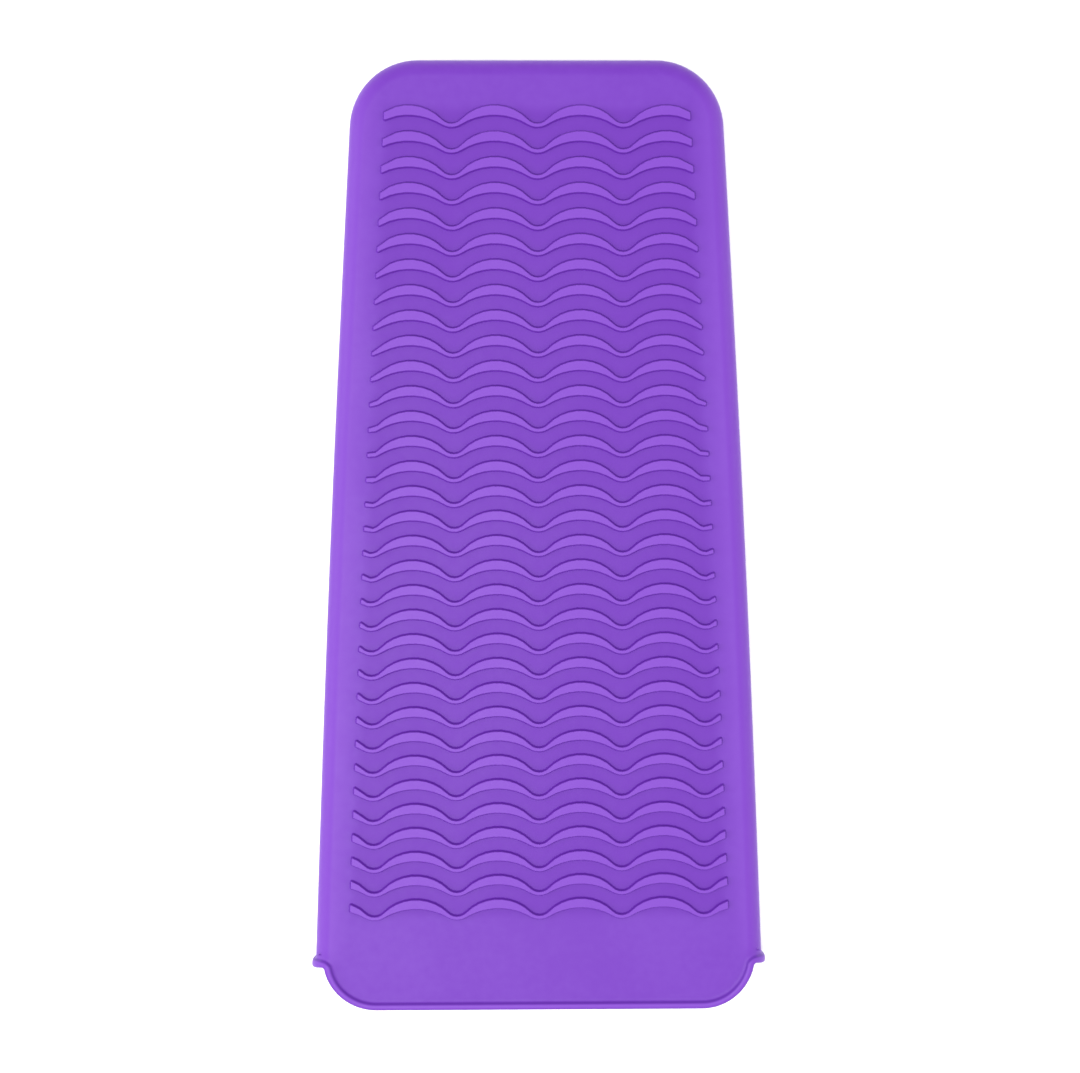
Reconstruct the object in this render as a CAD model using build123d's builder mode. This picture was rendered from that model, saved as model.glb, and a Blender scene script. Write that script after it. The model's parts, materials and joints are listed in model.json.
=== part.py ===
"""Silicone sleeve that holds a hot flat iron, and doubles as a mat to lay it on.

A tapered pouch, moulded round a flat core: a front wall and a back wall, joined by a half-round edge
down both sides and across the closed end. The wide end is the mouth. There the edge stops short, and
each wall runs on as a free tab with rounded corners and a raised lip. Both faces carry rows of wavy
ribs, which keep air under a hot plate. The sleeve lies on its back ribs, +Y towards the closed end,
+Z up, with the origin in the middle of its footprint. All sizes are in millimetres.
"""

import os
from math import atan, atan2, cos, degrees, sin, tan

from build123d import *

# Overall
length = 291.5  # closed end to the tip of the tabs
mouth_width = 140.2  # across the two side edges where they stop, at the mouth
closed_width = 110.2  # across the same two edges, run on to the closed end
end_corner_radius = 20.6  # plan radius of the two corners at the closed end
wall = 2.0  # thickness of every wall
pocket_gap = 6.0  # clear height of the empty pocket
flex_gap = 0.1  # slit round a zone of wall that flexes on its own

# Tabs and lip at the mouth
tab_length = 12.9
tab_inset = 2.8  # how far a tab's side lies inside the side edge
tab_corner_radius = 16.4
lip_width = 2.4
lip_height = 1.0
lip_round = 0.7  # radius on the lip's long top edges
ear_length = 4.0  # of the lip where it wraps round each side edge

# Ribs
rib_height = 1.1
rib_pitch = 7.564
rib_wave = 25.6  # wavelength across the sleeve
rib_rise = 5.35  # valley to crest, on the rib's edge nearest the closed end
rib_crest_width = 2.9
rib_valley_width = 1.1
crest_side_valley_radius = 4.0  # valley radius of the edge nearest the closed end
hollow_side_valley_radius = 5.5  # valley radius of the edge nearest the mouth
rib_margin = 10.4  # side edge to the ends of the ribs
rib_end_radius = 0.45
first_rib_setback = 19.1  # closed end to the first rib's valley
plain_length = 17.0  # least length of plain wall from the last rib's valley to the tabs

# Heights and places that follow
rim_radius = wall + pocket_gap / 2
core_radius = rim_radius - wall
mid_z = rib_height + rim_radius
back_face_z = rib_height
front_inside_z = mid_z + core_radius
front_face_z = mid_z + rim_radius
y_end = length / 2
y_tip = -length / 2
y_root = y_tip + tab_length
taper = atan((mouth_width - closed_width) / 2 / (y_end - y_root))
corner_y = y_end - end_corner_radius
tab_width = mouth_width - 2 * tab_inset
first_rib_y = y_end - first_rib_setback
rib_rows = int((first_rib_y - plain_length - y_root) / rib_pitch) + 1


def side_x(y, inset=0.0):
    """X of the right side edge at y, moved in by a distance square to the edge."""
    return mouth_width / 2 - (y - y_root) * tan(taper) - inset / cos(taper)


corner_x = side_x(corner_y, end_corner_radius)
outward = Vector(cos(taper), sin(taper), 0)  # square to the right side edge
down_the_side = Vector(sin(taper), -cos(taper), 0)
seam_start = Vector(corner_x, corner_y, mid_z) + outward * (end_corner_radius - rim_radius)
side_plane = Plane(origin=seam_start, x_dir=outward, z_dir=down_the_side)
root_plane = Plane(origin=(0, y_root, 0), x_dir=(1, 0, 0), z_dir=(0, 1, 0))
middle_plane = Plane.XY.offset(mid_z)


def edge_section(plane, inner, outer, start=0.0):
    """Half ring on a plane whose X points out of the sleeve, cut off inside the start distance."""
    with BuildSketch(plane) as section:
        Circle(outer)
        Circle(inner, mode=Mode.SUBTRACT)
        with Locations((start, 0)):
            Rectangle(outer, 2 * outer, align=(Align.MIN, Align.CENTER), mode=Mode.INTERSECT)
    return section.sketch


def wall_plate(base_z, slit):
    """Flat wall between the edges, from the closed end to the tabs, with a slit left round it."""
    inset = rim_radius + slit
    top = y_end - inset
    bottom = y_root + slit
    with BuildPart() as plate:
        with BuildSketch(Plane.XY.offset(base_z)) as outline:
            with BuildLine():
                Polyline(
                    (-side_x(bottom, inset), bottom),
                    (-side_x(top, inset), top),
                    (side_x(top, inset), top),
                    (side_x(bottom, inset), bottom),
                    close=True,
                )
            make_face()
            fillet(outline.vertices().group_by(Axis.Y)[-1], end_corner_radius - inset)
        extrude(amount=wall)
    return plate.part


def tab_plate(base_z):
    """Free tab of one wall, past the point where the side edges stop."""
    with BuildPart() as plate:
        with BuildSketch(Plane.XY.offset(base_z)):
            with Locations((0, y_tip)):
                RectangleRounded(
                    tab_width, 3 * tab_corner_radius, tab_corner_radius, align=(Align.CENTER, Align.MIN)
                )
                Rectangle(
                    tab_width, tab_length - flex_gap, align=(Align.CENTER, Align.MIN), mode=Mode.INTERSECT
                )
        extrude(amount=wall)
    return plate.part


def lip_band(base_z):
    """Raised lip that follows a tab's free edge, with its long top edges rounded."""
    with BuildPart() as band:
        with BuildSketch(Plane.XY.offset(base_z)):
            with Locations((0, y_tip)):
                RectangleRounded(
                    tab_width, 3 * tab_corner_radius, tab_corner_radius, align=(Align.CENTER, Align.MIN)
                )
            with Locations((0, y_tip + lip_width)):
                RectangleRounded(
                    tab_width - 2 * lip_width,
                    3 * tab_corner_radius,
                    tab_corner_radius - lip_width,
                    align=(Align.CENTER, Align.MIN),
                    mode=Mode.SUBTRACT,
                )
            with Locations((0, y_tip)):
                Rectangle(
                    tab_width, tab_length - flex_gap, align=(Align.CENTER, Align.MIN), mode=Mode.INTERSECT
                )
        extrude(amount=lip_height)
        root_ends = band.edges().group_by(Axis.Y)[-1]
        fillet(band.faces().sort_by(Axis.Z)[-1].edges() - root_ends, lip_round)
    return band.part


def wave_line(y, rise, valley_radius):
    """Arcs of one rib edge, valley to valley: crest arcs meet tighter valley arcs at a tangent."""
    half_wave = rib_wave / 2
    turn = 2 * atan2(rise, half_wave)
    meet_x = valley_radius * sin(turn)
    meet_y = y + valley_radius * (1 - cos(turn))
    reach = int(mouth_width / 2 / rib_wave) + 1
    for valley in range(-reach, reach):
        x = valley * rib_wave
        ThreePointArc((x + meet_x, meet_y), (x + half_wave, y + rise), (x + rib_wave - meet_x, meet_y))
        if valley > -reach:
            ThreePointArc((x - meet_x, meet_y), (x, y), (x + meet_x, meet_y))
    return (-reach * rib_wave + meet_x, meet_y), (reach * rib_wave - meet_x, meet_y)


def rib(y, base_z):
    """One rib whose valleys stand at y: a wavy band, cut off at a margin from the side edges."""
    hollow_rise = rib_rise - (rib_crest_width - rib_valley_width)
    with BuildPart() as band:
        with BuildSketch(Plane.XY.offset(base_z)):
            with BuildLine():
                upper = wave_line(y, rib_rise, crest_side_valley_radius)
                lower = wave_line(y - rib_valley_width, hollow_rise, hollow_side_valley_radius)
                for above, below in zip(upper, lower):
                    Line(above, below)
            make_face()
            with BuildLine():
                Polyline(
                    (-side_x(y_root, rib_margin), y_root),
                    (-side_x(y_end, rib_margin), y_end),
                    (side_x(y_end, rib_margin), y_end),
                    (side_x(y_root, rib_margin), y_root),
                    close=True,
                )
            make_face(mode=Mode.INTERSECT)
            offset(amount=-rib_end_radius, mode=Mode.REPLACE)
            offset(amount=rib_end_radius, mode=Mode.REPLACE)
        extrude(amount=rib_height)
    return band.part


# Half-round edge that joins the two walls: down both sides, round both corners, across the closed end
with BuildPart() as right_side_edge:
    extrude(edge_section(side_plane, core_radius, rim_radius), amount=length)
    split(bisect_by=root_plane, keep=Keep.TOP)

with BuildPart() as left_side_edge:
    mirror(right_side_edge.part, about=Plane.YZ)

corner_axis = Axis((corner_x, corner_y, 0), (0, 0, 1))
with BuildPart() as right_end_corner:
    revolve(
        edge_section(side_plane, core_radius, rim_radius),
        axis=corner_axis,
        revolution_arc=90 - degrees(taper),
    )

with BuildPart() as left_end_corner:
    mirror(right_end_corner.part, about=Plane.YZ)

end_plane = Plane(origin=(corner_x, y_end - rim_radius, mid_z), x_dir=(0, 1, 0), z_dir=(-1, 0, 0))
with BuildPart() as closed_end_edge:
    extrude(edge_section(end_plane, core_radius, rim_radius), amount=2 * corner_x)

# Lip where it wraps round the side edges, seen from above as two ears
ear_plane = Plane(
    origin=Vector(side_x(y_root, rim_radius), y_root, mid_z) - down_the_side * ear_length,
    x_dir=outward,
    z_dir=down_the_side,
)
with BuildPart() as right_ear:
    extrude(
        edge_section(ear_plane, rim_radius, rim_radius + lip_height, rim_radius - tab_inset + flex_gap),
        amount=2 * ear_length,
    )
    split(bisect_by=root_plane, keep=Keep.TOP)

with BuildPart() as left_ear:
    mirror(right_ear.part, about=Plane.YZ)

# Walls, tabs, lips and ribs: the front is made first, and the back mirrors it
with BuildPart() as back_panel:
    add(wall_plate(back_face_z, 0.0))

with BuildPart() as front_panel:
    add(wall_plate(front_inside_z, flex_gap))

with BuildPart() as front_tab:
    add(tab_plate(front_inside_z))

with BuildPart() as back_tab:
    mirror(front_tab.part, about=middle_plane)

with BuildPart() as front_lip:
    add(lip_band(front_face_z))

with BuildPart() as back_lip:
    mirror(front_lip.part, about=middle_plane)

with BuildPart() as front_ribs:
    add([rib(first_rib_y - row * rib_pitch, front_face_z) for row in range(rib_rows)])

with BuildPart() as back_ribs:
    mirror(front_ribs.part, about=middle_plane)

pieces = {
    "front_panel": front_panel,
    "back_panel": back_panel,
    "left_side_edge": left_side_edge,
    "right_side_edge": right_side_edge,
    "closed_end_edge": closed_end_edge,
    "left_end_corner": left_end_corner,
    "right_end_corner": right_end_corner,
    "front_tab": front_tab,
    "back_tab": back_tab,
    "front_lip": front_lip,
    "back_lip": back_lip,
    "left_ear": left_ear,
    "right_ear": right_ear,
    "front_ribs": front_ribs,
    "back_ribs": back_ribs,
}
os.makedirs("parts", exist_ok=True)
for name, piece in pieces.items():
    piece.part.label = name
    export_step(piece.part, f"parts/{name}.step")
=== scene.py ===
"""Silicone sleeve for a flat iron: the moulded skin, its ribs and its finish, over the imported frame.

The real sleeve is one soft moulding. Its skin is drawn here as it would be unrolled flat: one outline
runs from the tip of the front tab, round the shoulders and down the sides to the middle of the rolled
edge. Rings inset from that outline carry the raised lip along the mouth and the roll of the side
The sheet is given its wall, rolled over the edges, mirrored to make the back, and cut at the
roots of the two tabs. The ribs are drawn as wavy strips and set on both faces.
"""

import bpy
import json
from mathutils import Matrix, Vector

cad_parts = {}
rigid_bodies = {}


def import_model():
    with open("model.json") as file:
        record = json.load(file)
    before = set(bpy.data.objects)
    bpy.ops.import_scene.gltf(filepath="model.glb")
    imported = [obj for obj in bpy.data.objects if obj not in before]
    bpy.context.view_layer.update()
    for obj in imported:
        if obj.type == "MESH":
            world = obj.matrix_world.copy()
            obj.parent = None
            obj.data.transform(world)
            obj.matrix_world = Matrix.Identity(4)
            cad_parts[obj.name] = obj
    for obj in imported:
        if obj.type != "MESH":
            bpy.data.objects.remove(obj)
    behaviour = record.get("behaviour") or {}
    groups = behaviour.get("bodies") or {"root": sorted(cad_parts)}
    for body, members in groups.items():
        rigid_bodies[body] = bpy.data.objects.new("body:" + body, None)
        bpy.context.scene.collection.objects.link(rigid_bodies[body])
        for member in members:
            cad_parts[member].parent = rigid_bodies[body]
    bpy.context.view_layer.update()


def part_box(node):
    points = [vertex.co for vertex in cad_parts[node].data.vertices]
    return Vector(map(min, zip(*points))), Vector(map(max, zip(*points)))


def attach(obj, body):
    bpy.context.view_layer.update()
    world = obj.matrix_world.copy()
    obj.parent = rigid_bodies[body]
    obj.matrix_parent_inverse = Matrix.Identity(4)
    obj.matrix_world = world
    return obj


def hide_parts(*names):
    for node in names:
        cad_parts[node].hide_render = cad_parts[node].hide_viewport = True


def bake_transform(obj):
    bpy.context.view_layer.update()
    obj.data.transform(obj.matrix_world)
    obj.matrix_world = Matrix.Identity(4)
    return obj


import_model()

import json
import logging
import math
from dataclasses import dataclass, field
from enum import Enum
from typing import Any, Callable, Iterable, Sequence

import bmesh
import bpy
from mathutils import Matrix, Vector

LOG = logging.getLogger("sleeve")
MM = 0.001
SEAM_GAP = 1e-6  # metres: points nearer than this are the same point
NEAR = 5 * SEAM_GAP  # how near a plane a point counts as on it, after rounding
MIRROR_GAP = 0.01 * MM  # points this near a mirror's or a repeat's joint are joined
REST_PLACE = "rest_place"  # attribute: where a point lies at rest
RAISED = "raised"  # attribute: how far it stands over the plain skin


class Element(Enum):
    """What a selection picks."""

    VERT = "VERT"
    EDGE = "EDGE"
    FACE = "FACE"


class Side(Enum):
    """Which face of the sleeve a piece belongs to; the value is its direction along Z."""

    FRONT = 1
    BACK = -1


def clear_selection() -> None:
    """Leaves edit mode and deselects everything."""
    if bpy.context.mode != "OBJECT":
        bpy.ops.object.mode_set(mode="OBJECT")
    bpy.ops.object.select_all(action="DESELECT")


def make_active(obj: bpy.types.Object) -> None:
    """Selects one object alone and makes it the active one."""
    clear_selection()
    obj.select_set(True)
    bpy.context.view_layer.objects.active = obj


@dataclass(frozen=True)
class Plane:
    """A flat cut: a point on it and its normal."""

    place: Vector
    normal: Vector

    def height(self, point: Vector) -> float:
        """Distance of a point from the plane, positive on the normal's side."""
        return (point - self.place).dot(self.normal)


class Bench:
    """One mesh in edit mode, with the hand steps that shape it."""

    def __init__(self, name: str) -> None:
        """Starts a new mesh as a single point at the origin.

        Args:
            name: Name of the new object and of its mesh.
        """
        clear_selection()
        bpy.ops.mesh.primitive_plane_add(size=MM)
        self.obj = bpy.context.object
        self.obj.name = name
        self.obj.data.name = name
        self.pen = Vector()
        bpy.ops.object.mode_set(mode="EDIT")
        bpy.ops.mesh.select_mode(type="VERT")
        bpy.ops.mesh.select_all(action="SELECT")
        bpy.ops.mesh.merge(type="CENTER")

    @classmethod
    def reopen(cls, obj: bpy.types.Object) -> "Bench":
        """Puts an existing mesh object back on the bench.

        Args:
            obj: The mesh object to go on shaping.

        Returns:
            A bench with that object in edit mode.
        """
        bench = cls.__new__(cls)
        make_active(obj)
        bench.obj = obj
        bpy.ops.object.mode_set(mode="EDIT")
        return bench

    @property
    def mesh(self) -> bmesh.types.BMesh:
        """The edit mesh, fetched afresh because operators replace it."""
        return bmesh.from_edit_mesh(self.obj.data)

    def select(self, kind: Element, test: Callable[[Any], bool]) -> int:
        """Selects the elements that pass a test, and nothing else.

        Args:
            kind: Vertices, edges or faces.
            test: Called with each element.

        Returns:
            How many were selected.
        """
        bpy.ops.mesh.select_mode(type=kind.value)
        bpy.ops.mesh.select_all(action="DESELECT")
        mesh = self.mesh
        elements = {Element.VERT: mesh.verts, Element.EDGE: mesh.edges, Element.FACE: mesh.faces}[kind]
        chosen = [element for element in elements if test(element)]
        for element in chosen:
            element.select_set(True)
        bmesh.update_edit_mesh(self.obj.data)
        return len(chosen)

    def select_all(self) -> None:
        """Selects the whole mesh."""
        bpy.ops.mesh.select_all(action="SELECT")

    def new_point(self) -> None:
        """Adds another point at the origin and selects it alone."""
        bpy.ops.mesh.primitive_plane_add(size=MM)
        bpy.ops.mesh.merge(type="CENTER")

    def go_to(self, x: float, y: float) -> None:
        """Moves the new point to a place in the plan."""
        self.pen = Vector((x, y, 0.0))
        self.move(self.pen)

    def line_to(self, x: float, y: float) -> None:
        """Extrudes the last point to a new place in the plan."""
        step = Vector((x, y, 0.0)) - self.pen
        bpy.ops.mesh.extrude_region_move(TRANSFORM_OT_translate={"value": step})
        self.pen += step

    def arc_about(self, x: float, y: float, turn: float, steps: int) -> None:
        """Spins the last point about a centre.

        Args:
            x: Centre of the arc.
            y: Centre of the arc.
            turn: Angle in radians, anticlockwise seen from above.
            steps: How many edges the arc has.
        """
        centre = Vector((x, y, 0.0))
        bpy.ops.mesh.spin(steps=steps, angle=-turn, center=centre, axis=(0, 0, 1))
        self.pen = centre + Matrix.Rotation(turn, 3, "Z") @ (self.pen - centre)

    def move(self, shift: Sequence[float]) -> None:
        """Translates what is selected."""
        bpy.ops.transform.translate(value=shift)

    def weld(self, distance: float = 0.002 * MM) -> None:
        """Merges the points of the whole mesh that coincide."""
        self.select_all()
        bpy.ops.mesh.remove_doubles(threshold=distance)

    def fill(self) -> None:
        """Makes one face of the closed outline that is selected, facing up."""
        bpy.ops.mesh.edge_face_add()
        if self.mesh.faces[:][-1].normal.z < 0:
            bpy.ops.mesh.flip_normals()

    def rings(self, distances: Sequence[float]) -> None:
        """Insets the selected face again and again.

        Args:
            distances: Distance of each ring from the outline, rising.
        """
        reached = 0.0
        for distance in distances:
            bpy.ops.mesh.inset(thickness=distance - reached, use_even_offset=True, use_boundary=True)
            reached = distance

    def cut(
        self, place: Sequence[float], normal: Sequence[float], clear: bool = False, cap: bool = False
    ) -> None:
        """Bisects what is selected by a plane.

        Args:
            place: A point on the plane.
            normal: The plane's normal.
            clear: Whether what lies on the normal's side is cut away.
            cap: Whether the cut is closed with a face.
        """
        bpy.ops.mesh.bisect(
            plane_co=place, plane_no=normal, clear_outer=clear, use_fill=cap, threshold=SEAM_GAP
        )

    def apply(self, kind: str, **settings: Any) -> None:
        """Adds a modifier, applies it and goes back to edit mode.

        Args:
            kind: The modifier's type.
            **settings: Its settings.
        """
        bpy.ops.object.mode_set(mode="OBJECT")
        modifier = self.obj.modifiers.new(kind.lower(), kind)
        for name, value in settings.items():
            setattr(modifier, name, value)
        bpy.ops.object.modifier_apply(modifier=modifier.name)
        bpy.ops.object.mode_set(mode="EDIT")

    def place_each(self, rule: Callable[[Vector], Vector]) -> None:
        """Moves every point by a rule.

        Args:
            rule: Gives a point's new place from its old one.
        """
        mesh = self.mesh
        for vert in mesh.verts:
            vert.co = rule(vert.co.copy())
        mesh.normal_update()
        bmesh.update_edit_mesh(self.obj.data)

    def finish(self, crease: float) -> bpy.types.Object:
        """Turns the faces outwards and shades them smooth up to an angle.

        Args:
            crease: Angle in degrees past which an edge stays sharp.

        Returns:
            The finished object, out of edit mode.
        """
        self.select_all()
        bpy.ops.mesh.normals_make_consistent(inside=False)
        make_active(self.obj)
        bpy.ops.object.shade_smooth_by_angle(angle=math.radians(crease))
        return self.obj


@dataclass(frozen=True)
class SleevePlan:
    """The sleeve's main sizes, read from the frame, in metres."""

    mid_z: float
    rim: float
    wall: float
    y_end: float
    y_root: float
    y_tip: float
    root_half: float
    slope: float
    corner: Vector
    corner_radius: float
    tab_half: float
    lip_height: float
    rib_height: float
    bow: float = 0.75 * MM  # how far the long sides swell past a straight line
    tab_radius: float = 16.4 * MM
    roll_snap: float = 0.05 * MM  # points this near the middle of the roll are put on it

    @classmethod
    def from_frame(cls) -> "SleevePlan":
        """Reads the sizes from the CAD nodes' boxes.

        Returns:
            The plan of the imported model.
        """
        front_low, front_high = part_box("front_panel")
        back_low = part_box("back_panel")[0]
        edge_low, edge_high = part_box("right_side_edge")
        corner_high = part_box("right_end_corner")[1]
        corner_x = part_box("closed_end_edge")[1].x
        slope = (edge_high.x - corner_high.x) / (edge_high.y - edge_low.y)
        radius = (corner_high.x - corner_x) / math.cos(math.atan(slope))
        return cls(
            mid_z=(front_high.z + back_low.z) / 2,
            rim=(front_high.z - back_low.z) / 2,
            wall=front_high.z - front_low.z,
            y_end=corner_high.y,
            y_root=edge_low.y,
            y_tip=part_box("front_tab")[0].y,
            root_half=edge_high.x,
            slope=slope,
            corner=Vector((corner_x, corner_high.y - radius)),
            corner_radius=radius,
            tab_half=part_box("front_tab")[1].x,
            lip_height=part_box("front_lip")[1].z - front_high.z,
            rib_height=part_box("front_ribs")[1].z - front_high.z,
        )

    @property
    def front_z(self) -> float:
        """Height of the front wall's outer face."""
        return self.mid_z + self.rim

    @property
    def roll(self) -> float:
        """Length of skin from the flat face over the edge to the middle of the roll."""
        return self.rim * math.pi / 2

    @property
    def square_to_side(self) -> Vector:
        """Unit vector out of the right side, square to it."""
        return Vector((1.0, self.slope)).normalized()

    @property
    def side_start_y(self) -> float:
        """Y where the right side meets the closed end's corner."""
        return self.corner.y + self.corner_radius * self.square_to_side.y

    def side_x(self, y: float, inset: float = 0.0) -> float:
        """X of the right side at y, with its bow, moved in square to the side.

        Args:
            y: Where along the sleeve.
            inset: How far in from the outer edge.

        Returns:
            The X coordinate.
        """
        along = (y - self.y_root) / (self.side_start_y - self.y_root)
        swell = self.bow * math.sin(math.pi * min(max(along, 0.0), 1.0))
        return self.root_half - (y - self.y_root) * self.slope + swell - inset / self.square_to_side.x

    def past_roll(self, plan: Vector) -> tuple[Vector, float]:
        """Finds how far a point of the right half lies past the centre line of the rolled edge.

        Args:
            plan: The point, seen from above.

        Returns:
            The unit vector out of the edge there, and the distance along it.
        """
        from_corner = plan - self.corner
        up_the_side = Vector((-self.square_to_side.y, self.square_to_side.x))
        if from_corner.y > 0 and plan.x <= self.corner.x:
            return Vector((0.0, 1.0)), plan.y - (self.y_end - self.rim)
        if from_corner.dot(up_the_side) > 0:
            return from_corner.normalized(), from_corner.length - (self.corner_radius - self.rim)
        outward = self.square_to_side
        return outward, (plan.x - self.side_x(plan.y, self.rim)) * outward.x

    def height_over_skin(self, point: Vector) -> float:
        """Height of a finished point over the plain skin's outer face, rolled edge included."""
        past = self.past_roll(Vector((abs(point.x), point.y)))[1]
        return math.hypot(max(past, 0.0), point.z - self.mid_z) - self.rim

    def roll_over(self, point: Vector) -> Vector:
        """Rolls a point of the flat sheet over the sleeve's edge, with the middle of the wall at z 0.

        Args:
            point: A point of the sheet; z is its height over the outer face.

        Returns:
            Its place on the rolled skin.
        """
        mirrored = -1.0 if point.x < 0 else 1.0
        plan = Vector((abs(point.x), point.y))
        outward, past = self.past_roll(plan)
        if past <= 0:
            return Vector((point.x, point.y, self.rim + point.z))
        if past > self.roll - self.roll_snap:
            past = self.roll
        angle = past / self.rim
        radius = self.rim + point.z
        plan += outward * (radius * math.sin(angle) - past)
        return Vector((mirrored * plan.x, plan.y, radius * math.cos(angle)))


@dataclass
class SleeveSkin:
    """The two walls, the rolled edge, the tabs and the lip: one sheet, cut into pouch and tabs."""

    plan: SleevePlan
    shoulder_rise: float = 1.2 * MM  # how far the shoulders stand above the ears' ends
    shoulder_radius: float = 0.8 * MM
    tab_steps: int = 20
    corner_steps: int = 16
    side_steps: int = 16
    lip_profile: tuple[tuple[float, float], ...] = (
        (0.00, 0.35),
        (0.15, 0.66),
        (0.35, 0.86),
        (0.65, 0.97),
        (1.00, 1.00),
        (1.40, 1.00),
        (1.75, 0.92),
        (2.00, 0.72),
        (2.20, 0.40),
        (2.40, 0.12),
        (2.75, 0.00),
    )  # mm from the free edge, share of the lip's height
    outer_rings: tuple[float, ...] = (3.4, 4.1, 4.8)  # mm from the outline, all the way round
    inner_rings: tuple[float, ...] = (5.5, 6.2, 6.9, 7.5, 7.9, 8.6)  # mm from the sides and closed end only
    ear_spread: float = 0.3  # how much wider the lip is at the ears' tips
    ear_swell: float = 0.2  # how much prouder it is there
    ear_reach: float = 9.0 * MM  # from the mouth to where the ears' spread has died out
    ring_start: float = 3.0 * MM  # from the outer rings to the line that the inner rings start from
    lip_search: float = 8.0 * MM  # how far above the mouth points of the lip can be
    ear_top: float = 6.0 * MM  # how far above it faces of the ears can start
    middle_area: float = (20.0 * MM) ** 2  # only the sheet's middle faces are larger
    sliver: float = 0.03 * MM  # faces and gaps thinner than this are closed up
    tab_skew: float = 0.4 * MM  # how much longer one side of the tab is
    bend_steps: int = 9
    tab_bend: float = 8.0 * MM
    crease: float = 48.0  # degrees: sharper edges stay sharp
    parts: list[bpy.types.Object] = field(default_factory=list)

    @property
    def shoulder_y(self) -> float:
        """Y of the inner corners where the tab leaves the ears."""
        return self.plan.y_root + self.shoulder_rise

    @property
    def cut_y(self) -> float:
        """Y where the tabs part from the pouch, clear of the shoulders."""
        return self.plan.y_root - 2 * self.shoulder_radius

    def draw_outline(self, bench: Bench) -> None:
        """Draws the flat sheet's outline: tab, shoulder, side and closed end, then its mirror image.

        Args:
            bench: A bench with a single point on it.
        """
        plan = self.plan
        centre_y = plan.y_tip + plan.tab_radius
        reach_x = math.sqrt(plan.tab_radius**2 - (centre_y - plan.y_root) ** 2)
        tab_centre = Vector((plan.tab_half - reach_x, centre_y))
        root_angle = math.asin((tab_centre.y - self.shoulder_y) / plan.tab_radius)
        side_foot = plan.roll - plan.rim
        bench.go_to(0.0, plan.y_tip)
        bench.line_to(tab_centre.x, plan.y_tip)
        bench.arc_about(tab_centre.x, tab_centre.y, math.pi / 2 - root_angle, self.tab_steps)
        bench.line_to(plan.side_x(plan.y_root) + side_foot, plan.y_root)
        corner_arc = math.pi / 2 - math.atan(plan.slope)
        reach = plan.corner_radius + side_foot
        top_y = plan.corner.y + reach * plan.square_to_side.y
        for step in range(1, self.side_steps + 1):
            y = plan.y_root + (top_y - plan.y_root) * step / self.side_steps
            bench.line_to(plan.side_x(y) + side_foot / plan.square_to_side.x, y)
        bench.arc_about(plan.corner.x, plan.corner.y, corner_arc, self.corner_steps)
        bench.line_to(0.0, plan.y_end + side_foot)
        bench.apply("MIRROR", use_axis=(True, False, False), use_clip=True, merge_threshold=MIRROR_GAP)
        bench.weld()

    def soften_shoulders(self, bench: Bench) -> None:
        """Rounds the two inner corners where the tab leaves the side edges.

        Args:
            bench: The bench with the filled outline.
        """
        bench.select(Element.VERT, lambda v: abs(v.co.y - self.shoulder_y) < SEAM_GAP)
        bpy.ops.mesh.bevel(offset=self.shoulder_radius, segments=6, affect="VERTICES", clamp_overlap=False)

    def select_widest(self, bench: Bench, above: bool, y: float) -> None:
        """Selects the largest face on one side of a line across the sheet.

        Args:
            bench: The bench with the ringed sheet.
            above: Whether to look towards the closed end.
            y: Where the line is.
        """
        faces = [f for f in bench.mesh.faces if (f.calc_center_median().y > y) == above]
        widest = max(faces, key=lambda f: f.calc_area()).index
        bench.select(Element.FACE, lambda f: f.index == widest)

    def ring_above_shoulders(self, bench: Bench) -> None:
        """Carries the rings on inwards along the sides and closed end, and straight to the mouth.

        The sheet is parted by a line above the mouth. Rings are inset above it, their feet are slid
        back down to it, and from there they go on towards the mouth as straight cuts.

        Args:
            bench: The bench with the outer rings.
        """
        plan = self.plan
        side_foot = plan.roll - plan.rim
        start = self.outer_rings[-1] * MM
        line = plan.y_root + start + self.ring_start
        bench.select(Element.FACE, lambda f: f.calc_area() > self.middle_area)
        bench.cut((0.0, line, 0.0), (0.0, 1.0, 0.0))
        self.select_widest(bench, True, line)
        bench.rings([ring * MM - start for ring in self.inner_rings])
        for ring in self.inner_rings:
            rise = ring * MM - start
            for sign in (-1, 1):
                bench.select(
                    Element.VERT,
                    lambda v: abs(v.co.y - line - rise) < NEAR
                    and 0 < plan.side_x(line, start - side_foot) - v.co.x * sign < 5 * MM,
                )
                bench.move((sign * plan.slope * rise, -rise, 0.0))
        bench.select(Element.FACE, lambda f: all(abs(v.co.y - line) < self.sliver for v in f.verts))
        bpy.ops.mesh.delete(type="ONLY_FACE")
        bench.select(Element.EDGE, lambda e: e.is_wire)
        bpy.ops.mesh.delete(type="EDGE")
        for ring in self.inner_rings:
            for sign in (-1, 1):
                self.select_widest(bench, False, line)
                place = (sign * plan.side_x(line, ring * MM - side_foot), line, 0.0)
                bench.cut(place, (sign * plan.square_to_side.x, plan.square_to_side.y, 0.0))
        bench.weld(2 * self.sliver)

    def on_mouth(self, line: bmesh.types.BMEdge) -> bool:
        """Whether an edge of the flat outline is part of the mouth rather than of a side."""
        low = max(v.co.y for v in line.verts) < self.plan.y_root + 2 * self.shoulder_rise
        run = line.verts[1].co - line.verts[0].co
        return low and (abs(run.x) > abs(run.y) or abs(line.verts[0].co.x) < self.plan.root_half)

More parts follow.
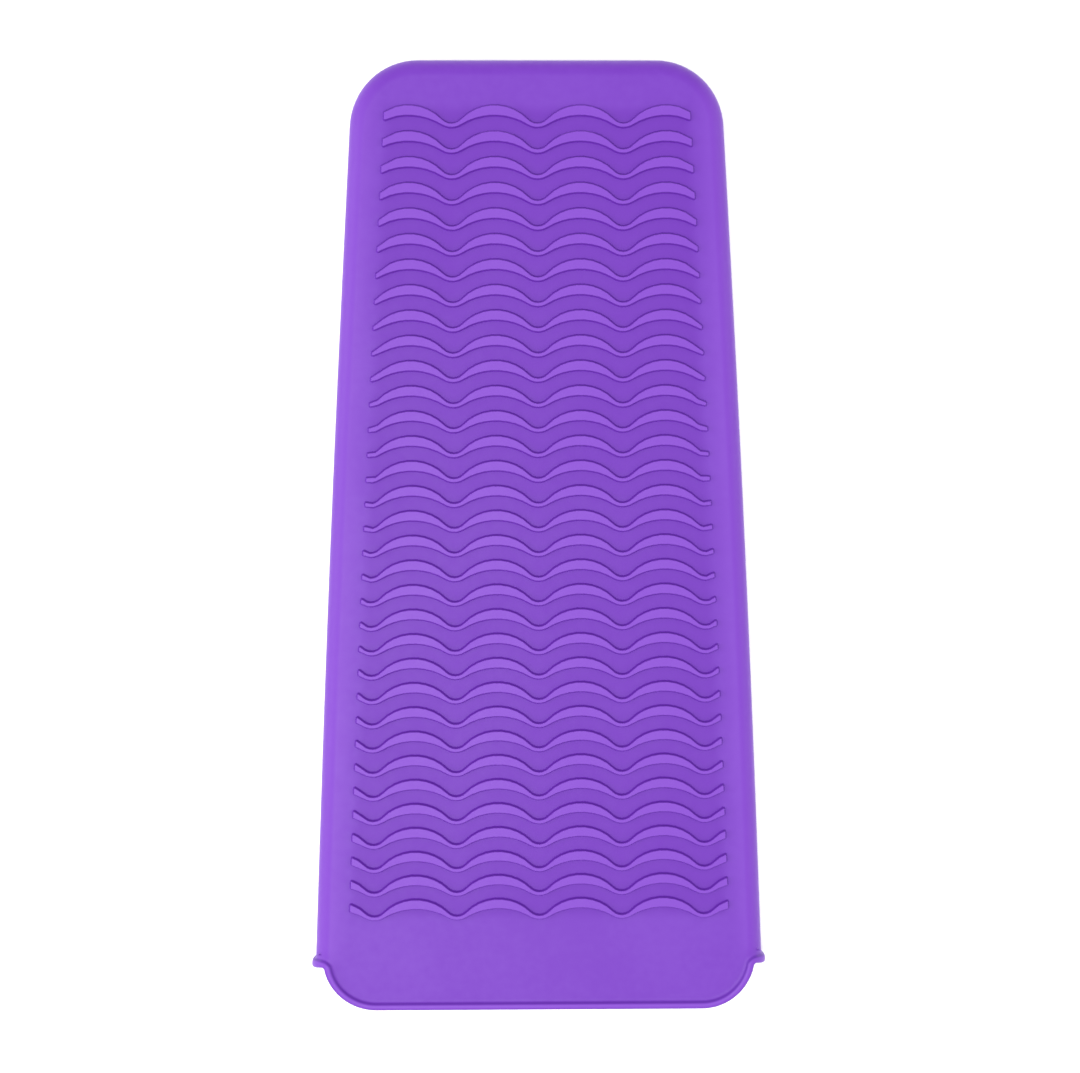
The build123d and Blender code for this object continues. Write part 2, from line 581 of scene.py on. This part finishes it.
    def in_ear(
        self, face: bmesh.types.BMFace, sign: int, tip: Vector, inwards: Vector, other: Vector
    ) -> bool:
        """Whether a face lies in one ear, on the side of its diagonal that one set of rings crosses.

        Args:
            face: A face of the flat sheet.
            sign: 1 for the right ear, -1 for the left.
            tip: The right ear's outer corner.
            inwards: The direction in which the rings go.
            other: The direction in which the other set goes.

        Returns:
            Whether the rings cross it.
        """
        centre = face.calc_center_median()
        offset = Vector((centre.x * sign, centre.y)) - tip
        near = centre.x * sign > self.plan.tab_half and offset.dot(other) < offset.dot(inwards)
        return near and min(vert.co.y for vert in face.verts) < self.plan.y_root + self.ear_top

    def cross_ears(self, bench: Bench) -> None:
        """Carries the lip's rings on across the ears both ways, so that it rolls over with the side edges.

        Args:
            bench: The bench with the ringed sheet.
        """
        plan = self.plan
        tip = Vector((plan.root_half + plan.roll - plan.rim, plan.y_root))
        from_mouth = Vector((self.shoulder_rise / (tip.x - plan.tab_half), 1.0)).normalized()
        from_side = -plan.square_to_side
        distances = [place for place, _ in self.lip_profile[1:]] + list(self.outer_rings)
        for sign in (-1, 1):
            for inwards, other in ((from_mouth, from_side), (from_side, from_mouth)):
                for distance in distances:
                    bench.select(Element.FACE, lambda face: self.in_ear(face, sign, tip, inwards, other))
                    place = tip + inwards * distance * MM
                    bench.cut((sign * place.x, place.y, 0.0), (sign * inwards.x, inwards.y, 0.0))
        bench.weld(self.sliver)

    def mouth_distance(self, point: Vector, edge: Sequence[tuple[Vector, Vector]]) -> float:
        """Distance from a point of the sheet to the mouth's free edge.

        Args:
            point: The point, in the plan.
            edge: The free edge's straight stretches.

        Returns:
            The distance in metres.
        """
        best = math.inf
        for start, end in edge:
            run = end - start
            share = min(max((point - start).dot(run) / run.length_squared, 0.0), 1.0)
            best = min(best, (point - start - run * share).length)
        return best

    def raise_lip(self, bench: Bench, edge: Sequence[tuple[Vector, Vector]]) -> None:
        """Lifts the rings along the free edge into the lip, on the outer side of the sheet only.

        Args:
            bench: The bench with the walled sheet.
            edge: The free edge's straight stretches.
        """
        distances = {
            vert.index: self.mouth_distance(vert.co, edge)
            for vert in bench.mesh.verts
            if vert.co.z > -self.plan.wall / 2 and vert.co.y < self.plan.y_root + self.lip_search
        }
        before = ((-0.5, 0.0),) + self.lip_profile  # each point goes up with its nearest ring
        for (previous, _), (near, share), (far, _) in zip(before, self.lip_profile, self.lip_profile[1:]):
            low = (previous + near) / 2 * MM
            high = (near + far) / 2 * MM
            bench.select(Element.VERT, lambda v: low <= distances.get(v.index, -1.0) < high)
            bench.move((0.0, 0.0, share * self.plan.lip_height))

    def spread_ears(self, point: Vector) -> Vector:
        """Widens the lip towards the ears' tips and sets the tab's slight skew.

        Args:
            point: A point of the flat sheet.

        Returns:
            Its new place.
        """
        plan = self.plan
        outer = plan.root_half + plan.roll - plan.rim
        share = min(max((abs(point.x) - plan.tab_half) / (outer - plan.tab_half), 0.0), 1.0)
        past = point.y - plan.y_root - self.shoulder_rise * (1 - share)
        share *= share * (3 - 2 * share)
        lip = self.lip_profile[-1][0] * MM
        if 0 < past < self.ear_reach:
            fade = lip * (self.ear_reach - past) / (self.ear_reach - lip)
            stretch = self.ear_spread * share * min(past, fade)
            point.y += stretch
            point.x -= math.copysign(stretch * plan.slope, point.x)
        if point.z > 0:
            point.z *= 1 + self.ear_swell * share
        out = min(max((plan.y_root - point.y) / (plan.y_root - plan.y_tip), 0.0), 1.0)
        point.y -= self.tab_skew * out * point.x / plan.tab_half
        return point

    def build(self) -> list[bpy.types.Object]:
        """Models the whole skin.

        Returns:
            The pouch, the front tab and the back tab.
        """
        plan = self.plan
        bench = Bench("pouch")
        self.draw_outline(bench)
        bench.select_all()
        bench.fill()
        self.soften_shoulders(bench)
        edge = [
            (line.verts[0].co.xy.to_3d(), line.verts[1].co.xy.to_3d())
            for line in bench.mesh.edges
            if self.on_mouth(line)
        ]
        bench.select(Element.FACE, lambda f: True)
        lip_rings = [distance for distance, _ in self.lip_profile[1:]]
        bench.rings([ring * MM for ring in (*lip_rings, *self.outer_rings)])
        self.ring_above_shoulders(bench)
        self.cross_ears(bench)
        bench.apply("SOLIDIFY", thickness=plan.wall, offset=-1.0, use_rim=False)
        bench.select(Element.EDGE, lambda e: e.is_boundary and self.on_mouth(e))
        bpy.ops.mesh.bridge_edge_loops()
        self.raise_lip(bench, edge)
        bench.place_each(self.spread_ears)
        bench.place_each(plan.roll_over)
        bench.apply("MIRROR", use_axis=(False, False, True), use_clip=True, merge_threshold=MIRROR_GAP)
        bench.select_all()
        bench.move((0.0, 0.0, plan.mid_z))
        self.part_tabs(bench)
        return self.parts

    def part_tabs(self, bench: Bench) -> None:
        """Cuts the whole skin into the pouch and the two tabs.

        Args:
            bench: The bench with the whole skin.
        """
        bpy.ops.object.mode_set(mode="OBJECT")
        whole = bench.obj
        seam = (0.0, self.cut_y, 0.0)
        for side in Side:
            make_active(whole)
            bpy.ops.object.duplicate()
            tab = Bench.reopen(bpy.context.object)
            tab.obj.name = f"{side.name.lower()}_tab_skin"
            tab.obj.data.name = tab.obj.name
            tab.select_all()
            tab.cut(seam, (0, 1, 0), clear=True, cap=True)
            tab.select(Element.VERT, lambda v: (v.co.z - self.plan.mid_z) * side.value < 0)
            bpy.ops.mesh.delete(type="VERT")
            for step in range(1, self.bend_steps):
                tab.select_all()
                tab.cut((0.0, self.cut_y - self.tab_bend * step / self.bend_steps, 0.0), (0, 1, 0))
            self.parts.append(tab.finish(self.crease))
        pouch = Bench.reopen(whole)
        pouch.select_all()
        pouch.cut(seam, (0, -1, 0), clear=True, cap=True)
        self.parts.insert(0, pouch.finish(self.crease))


@dataclass
class WavyRibs:
    """The rows of wavy ribs on both faces of the sleeve."""

    plan: SleevePlan
    wave: float = 25.6 * MM
    pitch: float = 7.56 * MM
    rise: float = 5.35 * MM
    crest_width: float = 2.9 * MM
    valley_width: float = 1.1 * MM
    upper_radius: float = 4.0 * MM  # valley of the edge nearest the closed end
    lower_radius: float = 5.5 * MM  # valley of the edge nearest the mouth
    margin: float = 10.4 * MM
    end_radius: float = 0.88 * MM
    crease: float = 80.0  # degrees: sharper edges stay sharp
    end_straight: float = 2.50 * MM  # how much of each end is straight enough to round
    flare: float = 0.58 * MM  # how far the foot spreads past the rib's own outline
    profile: tuple[tuple[float, float], ...] = (
        (0.00, -0.15),
        (0.14, -0.01),
        (0.26, 0.07),
        (0.38, 0.26),
        (0.49, 0.58),
        (0.59, 0.88),
        (0.67, 1.04),
        (0.73, 1.10),
        (0.78, 1.10),
    )  # mm in from the foot, mm up from the face
    parts: list[bpy.types.Object] = field(default_factory=list)

    def draw_edge(self, bench: Bench, y: float, rise: float, radius: float) -> None:
        """Draws one wave of a rib's edge, valley to valley, from the point already at its left valley.

        Args:
            bench: The bench to draw on.
            y: Height of the valleys.
            rise: Height of the crest over the valleys.
            radius: Radius of the valleys.
        """
        turn = 2 * math.atan2(rise, self.wave / 2)
        crest_radius = self.wave / 2 / math.sin(turn) - radius
        bench.arc_about(0.0, y + radius, turn, 3)
        bench.arc_about(self.wave / 2, y + rise - crest_radius, -2 * turn, 9)
        bench.arc_about(self.wave, y + radius, turn, 3)

    def draw_strip(self) -> bpy.types.Object:
        """Draws the outline of a rib wider than any row, with one valley at the origin.

        Returns:
            An object with one face.
        """
        waves = 2 * (int(self.plan.root_half / self.wave) + 1)
        bench = Bench("rib_strip")
        thin = self.crest_width - self.valley_width
        edges = (
            (self.flare, self.rise, self.upper_radius - self.flare),
            (-self.valley_width - self.flare, self.rise - thin, self.lower_radius + self.flare),
        )  # height of the valleys, rise of the crests, radius of the valleys
        for number, (y, rise, radius) in enumerate(edges):
            if number:
                bench.new_point()
            bench.go_to(0.0, y)
            self.draw_edge(bench, y, rise, radius)
        bench.apply(
            "ARRAY",
            count=waves,
            use_relative_offset=False,
            use_constant_offset=True,
            constant_offset_displace=(self.wave, 0.0, 0.0),
            use_merge_vertices=True,
            merge_threshold=MIRROR_GAP,
        )
        bench.select_all()
        bench.move((-self.wave * waves / 2, 0.0, 0.0))
        bench.weld()
        self.close_ends(bench, waves)
        bpy.ops.object.mode_set(mode="OBJECT")
        return bench.obj

    def close_ends(self, bench: Bench, waves: int) -> None:
        """Joins the strip's two edges at both ends and fills the outline.

        Args:
            bench: The bench with the two wavy lines.
            waves: How many waves long they are.
        """
        limit = self.wave * waves / 2 - 2 * NEAR
        for sign in (-1, 1):
            bench.select(Element.VERT, lambda v: v.co.x * sign > limit)
            bpy.ops.mesh.edge_face_add()
        bench.select_all()
        bench.fill()

    def build_row(self, strip: bpy.types.Object, y: float) -> bpy.types.Object:
        """Makes one rib: the strip cut to its row's width and raised.

        Args:
            strip: The wide strip.
            y: Height of the row's valleys in the plan.

        Returns:
            The rib, on the front face.
        """
        plan = self.plan
        make_active(strip)
        bpy.ops.object.duplicate()
        rib = Bench.reopen(bpy.context.object)
        rib.select_all()
        rib.move((0.0, y, 0.0))
        half = plan.side_x(y, self.margin - self.flare)
        for sign in (-1, 1):
            outward = (sign * plan.square_to_side.x, plan.square_to_side.y, 0.0)
            rib.select_all()
            rib.cut((sign * half, y, 0.0), outward, clear=True)
            end = Plane(Vector((sign * half, y, 0.0)), Vector(outward))
            rib.select(Element.VERT, lambda v: NEAR < -end.height(v.co) < self.end_straight)
            bpy.ops.mesh.dissolve_verts()
            self.round_end(rib, end)
        rib.select(Element.FACE, lambda f: True)
        rib.rings([distance * MM for distance, _ in self.profile[1:]])
        self.lift_rings(rib)
        rib.select(Element.EDGE, lambda e: e.is_boundary)
        bpy.ops.mesh.edge_face_add()
        rib.select_all()
        bpy.ops.mesh.normals_make_consistent(inside=False)
        bpy.ops.object.mode_set(mode="OBJECT")
        return rib.obj

    def round_end(self, rib: Bench, end: Plane) -> None:
        """Rounds the two corners of one end to the same radius, however sharp each corner is.

        Args:
            rib: The bench with the cut outline.
            end: The plane that cut it.
        """
        for upper in (True, False):
            corners = sorted(
                (v for v in rib.mesh.verts if abs(end.height(v.co)) < NEAR), key=lambda v: v.co.y
            )
            corner = corners[-1] if upper else corners[0]
            first, second = (edge.other_vert(corner).co - corner.co for edge in corner.link_edges)
            index = corner.index
            rib.select(Element.VERT, lambda v: v.index == index)
            half_angle = first.angle(second) / 2
            offset = min(self.end_radius / math.tan(half_angle), self.end_straight * 0.95)
            fullness = (0.5 + math.sin(half_angle)) / (1 + math.sin(half_angle))
            bpy.ops.mesh.bevel(offset=offset, segments=5, profile=fullness**2, affect="VERTICES")

    def lift_rings(self, rib: Bench) -> None:
        """Lifts the insets into the rib's foot, flank and crest, from the middle face outwards.

        Args:
            rib: The bench with the ringed outline.
        """
        for (_, low), (_, high) in reversed(list(zip(self.profile, self.profile[1:]))):
            rib.move((0.0, 0.0, (high - low) * MM))
            bpy.ops.mesh.select_more()
        rib.select_all()
        rib.move((0.0, 0.0, self.plan.front_z + self.profile[0][1] * MM))

    def build(self) -> list[bpy.types.Object]:
        """Models the ribs of the front and copies them to the back.

        Returns:
            The front ribs and the back ribs.
        """
        plan = self.plan
        low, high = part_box("front_ribs")
        first = high.y - self.rise
        last = low.y + self.valley_width
        rows = int((first - last) / self.pitch + 1.5)
        step = (first - last) / (rows - 1)
        strip = self.draw_strip()
        ribs = [self.build_row(strip, first - row * step) for row in range(rows)]
        bpy.data.objects.remove(strip)
        clear_selection()
        for rib in ribs:
            rib.select_set(True)
        bpy.context.view_layer.objects.active = ribs[0]
        bpy.ops.object.join()
        front = Bench.reopen(bpy.context.object)
        front.obj.name = "front_ribs_moulded"
        front.obj.data.name = front.obj.name
        self.parts.append(front.finish(self.crease))
        make_active(front.obj)
        bpy.ops.object.duplicate()
        back = Bench.reopen(bpy.context.object)
        back.obj.name = "back_ribs_moulded"
        back.obj.data.name = back.obj.name
        back.place_each(lambda co: Vector((co.x, co.y, 2 * plan.mid_z - co.z)))
        self.parts.append(back.finish(self.crease))
        LOG.info("%d rows of ribs on each face", rows)
        return self.parts


class Wire:
    """A socket of a shader graph that takes part in arithmetic."""

    def __init__(self, graph: "Graph", socket: bpy.types.NodeSocket) -> None:
        """Wraps an output socket.

        Args:
            graph: The graph it belongs to.
            socket: The output.
        """
        self.graph = graph
        self.socket = socket

    def _math(self, operation: str, first: "Wire | float", second: "Wire | float") -> "Wire":
        """Adds one Math node."""
        return self.graph.node("ShaderNodeMath", {"operation": operation}, {0: first, 1: second})

    def __add__(self, other: "Wire | float") -> "Wire":
        """Sum."""
        return self._math("ADD", self, other)

    __radd__ = __add__

    def __sub__(self, other: "Wire | float") -> "Wire":
        """Difference."""
        return self._math("SUBTRACT", self, other)

    def __rsub__(self, other: "Wire | float") -> "Wire":
        """Difference, turned round."""
        return self._math("SUBTRACT", other, self)

    def __mul__(self, other: "Wire | float") -> "Wire":
        """Product."""
        return self._math("MULTIPLY", self, other)

    __rmul__ = __mul__

    def __abs__(self) -> "Wire":
        """Size without sign."""
        return self.graph.node("ShaderNodeMath", {"operation": "ABSOLUTE"}, {0: self})


class Graph:
    """A material's node tree, built one node at a time."""

    def __init__(self, name: str) -> None:
        """Makes an empty material.

        Args:
            name: The material's name.
        """
        self.material = bpy.data.materials.new(name)
        self.material.use_nodes = True
        self.tree = self.material.node_tree
        self.tree.nodes.clear()

    def node(
        self, kind: str, settings: dict[str, Any] | None = None, inputs: dict[Any, Any] | None = None,
        output: int | str | None = 0,
    ) -> "Wire | None":
        """Adds a node.

        Args:
            kind: The node's type.
            settings: Its own settings, set first.
            inputs: Values or wires of its inputs, by name or number.
            output: Which output to return, or None for a node with no outputs.

        Returns:
            The chosen output.
        """
        node = self.tree.nodes.new(kind)
        for name, value in (settings or {}).items():
            setattr(node, name, value)
        for name, value in (inputs or {}).items():
            if isinstance(value, Wire):
                self.tree.links.new(value.socket, node.inputs[name])
            else:
                node.inputs[name].default_value = value
        return None if output is None else Wire(self, node.outputs[output])

    def ramp(self, wire: Wire, low: float, high: float) -> Wire:
        """Smooth step of a wire from 0 at low to 1 at high."""
        return self.node(
            "ShaderNodeMapRange",
            {"interpolation_type": "SMOOTHSTEP"},
            {0: wire, 1: low, 2: high, 3: 0.0, 4: 1.0},
        )

    def noise(self, where: Wire, size: float, detail: float = 2.0) -> Wire:
        """Noise with features of a given size in metres."""
        return self.node(
            "ShaderNodeTexNoise",
            {},
            {"Vector": where, "Scale": 1.0 / size, "Detail": detail, "Roughness": 0.5},
        )

    def mix(self, share: Wire | float, first: Any, second: Any) -> Wire:
        """Mixes two colours."""
        return self.node(
            "ShaderNodeMix", {"data_type": "RGBA"}, {0: share, 6: first, 7: second}, output=2
        )


@dataclass(frozen=True)
class SiliconeFinish:
    """Matt moulded silicone: one main colour with darker clouds and a fine grain, a painted highlight where
    it stands proud and on the rolled edges, and painted shade between the ribs and on their flanks.
    """

    name: str
    body: tuple[float, float, float] = (0.114, 0.0245, 0.318)
    # lighter colour: painted highlight on the crests and on the rolled edges
    painted_highlight: tuple[float, float, float] = (0.146, 0.039, 0.368)
    # darker colour: real tone in the clouds, and painted shade between the ribs
    dark_tone_and_shade: tuple[float, float, float] = (0.095, 0.012, 0.283)
    shaded: tuple[float, float, float] = (0.072, 0.011, 0.240)
    rib_gap_shade: float = 0.8  # painted shade: how much of the darker colour shows between the ribs
    mottle: float = 0.35  # how much of it shows in clouds elsewhere
    crest_highlight: float = 0.7  # painted highlight: how much of the lighter colour lies on the crests of ribs and lip
    crest_from: float = 0.35 * MM  # heights over the skin between which it comes in
    crest_to: float = 1.0 * MM
    shade_depth: float = 0.47  # how much of the shaded colour lies on their flanks
    flank_foot: float = 0.25 * MM  # height over the skin where the flank's colour is full
    flank_top: float = 0.7 * MM  # height where it starts to fade
    flank_end: float = 1.02 * MM  # height where it has gone
    edge_highlight: float = 0.6  # painted highlight: how much of the lighter colour lies on the rolled edges
    edge_full: float = 2.0 * MM  # distance in from the side where it is full
    edge_end: float = 11.0 * MM  # distance in where it has gone
    roughness: float = 0.46
    cloud_size: float = 34.0 * MM
    speckle_size: float = 2.6 * MM
    grain_size: float = 0.22 * MM
    grain_depth: float = 0.010 * MM
    swell_size: float = 38.0 * MM
    swell_depth: float = 0.30 * MM

    def rib_field(self, graph: Graph, along: Wire, inside: Wire) -> Wire:
        """Marks the area that the ribs cover.

        Args:
            graph: The material's graph.
            along: Y of the point.
            inside: Its distance in from the side.

        Returns:
            1 inside the field, 0 outside, with soft edges.
        """
        low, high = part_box("front_ribs")
        sides = graph.ramp(inside, 9 * MM, 13 * MM)
        return sides * graph.ramp(along, low.y - MM, low.y + 3 * MM) * graph.ramp(high.y - along, -MM, 3 * MM)

    def colour(self, graph: Graph, where: Wire, raised: Wire, tone: Wire, plan: SleevePlan) -> Wire:
        """Lays the colours over one another.

        Args:
            graph: The material's graph.
            where: The point at rest.
            raised: Its height over the plain skin.
            tone: The clouds and speckles, 0 to 1.
            plan: The sleeve's sizes.

        Returns:
            The base colour.
        """
        body, painted_highlight, dark_tone_and_shade, shaded = ((*tint, 1.0) for tint in (self.body, self.painted_highlight, self.dark_tone_and_shade, self.shaded))
        along = graph.node("ShaderNodeSeparateXYZ", {}, {0: where}, output="Y")
        across = graph.node("ShaderNodeSeparateXYZ", {}, {0: where}, output="X")
        inside = plan.root_half - (along - plan.y_root) * plan.slope - abs(across)
        # painted highlight along the rolled edges, fading out towards the mouth
        edge = graph.ramp(inside, self.edge_end, self.edge_full)
        edge = edge * graph.ramp(along, plan.y_root - 2 * MM, plan.y_root + 9 * MM)
        flank = graph.ramp(raised, 0.0, self.flank_foot) * graph.ramp(raised, self.flank_end, self.flank_top)
        # painted highlight on the crests of ribs and lip, kept off their flanks
        crest = graph.ramp(raised, self.crest_from, self.crest_to) * (1 - flank)
        colour = graph.mix(tone * self.mottle, body, dark_tone_and_shade)
        # painted shade between the ribs
        colour = graph.mix(self.rib_field(graph, along, inside) * self.rib_gap_shade, colour, dark_tone_and_shade)
        colour = graph.mix(edge * self.edge_highlight, colour, painted_highlight)
        colour = graph.mix(flank * self.shade_depth, colour, shaded)
        return graph.mix(crest * self.crest_highlight, colour, painted_highlight)

    def build(self, plan: SleevePlan) -> bpy.types.Material:
        """Makes the material.

        Args:
            plan: The sleeve's sizes.

        Returns:
            The finished material.
        """
        graph = Graph(self.name)
        where = graph.node("ShaderNodeAttribute", {"attribute_name": REST_PLACE}, output="Vector")
        raised = graph.node("ShaderNodeAttribute", {"attribute_name": RAISED}, output="Fac")
        cloud = graph.noise(where, self.cloud_size, 3.0)
        speckle = graph.noise(where, self.speckle_size, 4.0)
        tone = graph.ramp(cloud * 0.6 + speckle * 0.4, 0.35, 0.65)
        proud = graph.ramp(raised, self.crest_from, self.crest_to)
        rough = self.roughness + (cloud - 0.5) * 0.10 + (speckle - 0.5) * 0.08 - proud * 0.04
        grain = graph.noise(where, self.grain_size, 2.0)
        swell = graph.noise(where, self.swell_size, 1.0)
        relief = swell * self.swell_depth + grain * self.grain_depth
        bump = graph.node(
            "ShaderNodeBump", {}, {"Strength": 1.0, "Distance": 1.0, "Height": relief}, output="Normal"
        )
        skin = graph.node(
            "ShaderNodeBsdfPrincipled",
            {},
            {
                "Base Color": self.colour(graph, where, raised, tone, plan),
                "Roughness": rough,
                "Normal": bump,
                "IOR": 1.42,
                "Specular IOR Level": 0.3,
                "Sheen Weight": 0.06,
                "Sheen Roughness": 0.4,
            },
        )
        graph.node("ShaderNodeOutputMaterial", {}, {"Surface": skin}, output=None)
        return graph.material


@dataclass
class Studio:
    """Floor, lights and camera."""

    aim: Vector
    distance: float = 608.1 * MM
    tilt: float = 0.1089052  # radians, seen from past the mouth
    lean: float = 0.0258614  # radians, seen from the left
    roll: float = 0.0054331  # radians about the line of sight
    lens: float = 66.67  # mm
    sensor: float = 36.0  # mm
    floor_half: float = 6.0  # metres
    daylight: float = 1.1  # strength of the white surround
    lamp_size: float = 1.0  # side of each square lamp, metres
    lamps: tuple[tuple[str, tuple[float, float, float], float], ...] = (
        ("key", (-0.35, -0.34, 1.9), 27.5),
        ("left", (-1.5, 0.0, 0.75), 12.0),
        ("right", (1.5, 0.0, 0.75), 5.0),
    )  # name, place in metres, power in watts

    def set_camera(self) -> None:
        """Looks nearly straight down at the sleeve's middle."""
        clear_selection()
        bpy.ops.object.camera_add()
        camera = bpy.context.object
        camera.name = "camera"
        camera.rotation_mode = "ZYX"
        camera.rotation_euler = (-self.tilt, -self.lean, -self.roll)
        bpy.context.view_layer.update()
        back = camera.matrix_world.to_3x3() @ Vector((0.0, 0.0, 1.0))
        camera.location = self.aim + back * self.distance
        camera.data.sensor_width = self.sensor
        camera.data.lens = self.lens
        camera.data.clip_start = 0.01
        bpy.context.scene.camera = camera

    def lay_floor(self) -> None:
        """Lays a plain white floor under the sleeve."""
        clear_selection()
        bpy.ops.mesh.primitive_plane_add(size=2 * self.floor_half)
        floor = bpy.context.object
        floor.name = "floor"
        graph = Graph("white_floor")
        white = (0.98, 0.98, 0.98, 1.0)
        paint = graph.node("ShaderNodeBsdfPrincipled", {}, {"Base Color": white, "Roughness": 0.9})
        graph.node("ShaderNodeOutputMaterial", {}, {"Surface": paint}, output=None)
        floor.data.materials.append(graph.material)

    def hang_lamp(self, name: str, place: tuple[float, float, float], power: float) -> None:
        """Hangs one soft square lamp that faces the sleeve.

        Args:
            name: The lamp's name.
            place: Where it hangs.
            power: Its power in watts.
        """
        clear_selection()
        bpy.ops.object.light_add(type="AREA", location=place)
        lamp = bpy.context.object
        lamp.name = name
        lamp.data.shape = "SQUARE"
        lamp.data.size = self.lamp_size
        lamp.data.energy = power
        lamp.rotation_euler = (self.aim - Vector(place)).to_track_quat("-Z", "Y").to_euler()

    def light(self) -> None:
        """Sets a soft key from the mouth end, a fill at each side and an even white surround."""
        world = bpy.data.worlds.new("surround")
        world.use_nodes = True
        background = world.node_tree.nodes["Background"]
        background.inputs["Color"].default_value = (1.0, 1.0, 1.0, 1.0)
        background.inputs["Strength"].default_value = self.daylight
        bpy.context.scene.world = world
        for name, place, power in self.lamps:
            self.hang_lamp(name, place, power)
        settings = bpy.context.scene.view_settings
        settings.view_transform = "Standard"
        settings.look = "None"


def mount_pieces(skin: SleeveSkin, ribs: WavyRibs) -> None:
    """Bakes the skin pieces in place, joins the ribs to the bodies they move with, and hides the CAD nodes
    that the pieces stand for.

    Args:
        skin: The built skin.
        ribs: The built ribs.
    """
    pouch, front_tab, back_tab = skin.parts
    front_ribs, back_ribs = ribs.parts
    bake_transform(pouch)
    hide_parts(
        "front_panel", "back_panel", "left_side_edge", "right_side_edge", "closed_end_edge",
        "left_end_corner", "right_end_corner", "left_ear", "right_ear",
    )
    bend_end = skin.cut_y - skin.tab_bend
    skin.cut_y
    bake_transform(front_tab)
    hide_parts("front_tab", "front_lip")
    skin.cut_y
    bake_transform(back_tab)
    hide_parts("back_tab", "back_lip")
    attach(front_ribs, "front_wall")
    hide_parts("front_ribs")
    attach(back_ribs, "back_wall")
    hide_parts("back_ribs")


def record_rest(piece: bpy.types.Object, plan: SleevePlan) -> None:
    """Stores where each point lies at rest, so that the finish stays put as the piece bends.

    Args:
        piece: The finished piece.
        plan: The sleeve's sizes.
    """
    points = [vertex.co for vertex in piece.data.vertices]
    place = piece.data.attributes.new(REST_PLACE, "FLOAT_VECTOR", "POINT")
    place.data.foreach_set("vector", [value for point in points for value in point])
    raised = piece.data.attributes.new(RAISED, "FLOAT", "POINT")
    raised.data.foreach_set("value", [plan.height_over_skin(point) for point in points])


def dress(objects: Iterable[bpy.types.Object], material: bpy.types.Material) -> None:
    """Gives each object one material.

    Args:
        objects: The objects to dress.
        material: Their finish.
    """
    for obj in objects:
        obj.data.materials.clear()
        obj.data.materials.append(material)


def main() -> None:
    """Builds the stage, then the sleeve, and reports each piece."""
    logging.basicConfig(level=logging.INFO, format="%(name)s: %(message)s")
    plan = SleevePlan.from_frame()
    studio = Studio(aim=Vector((0.42 * MM, 3.05 * MM, plan.front_z + plan.rib_height)))
    studio.set_camera()
    studio.lay_floor()
    studio.light()
    skin = SleeveSkin(plan)
    skin.build()
    ribs = WavyRibs(plan)
    ribs.build()
    pieces = skin.parts + ribs.parts
    for piece in pieces:
        record_rest(piece, plan)
    dress(pieces, SiliconeFinish("silicone").build(plan))
    mount_pieces(skin, ribs)
    clear_selection()
    for piece in pieces:
        LOG.info("%s: %d faces", piece.name, len(piece.data.polygons))


if __name__ == "__main__":
    main()
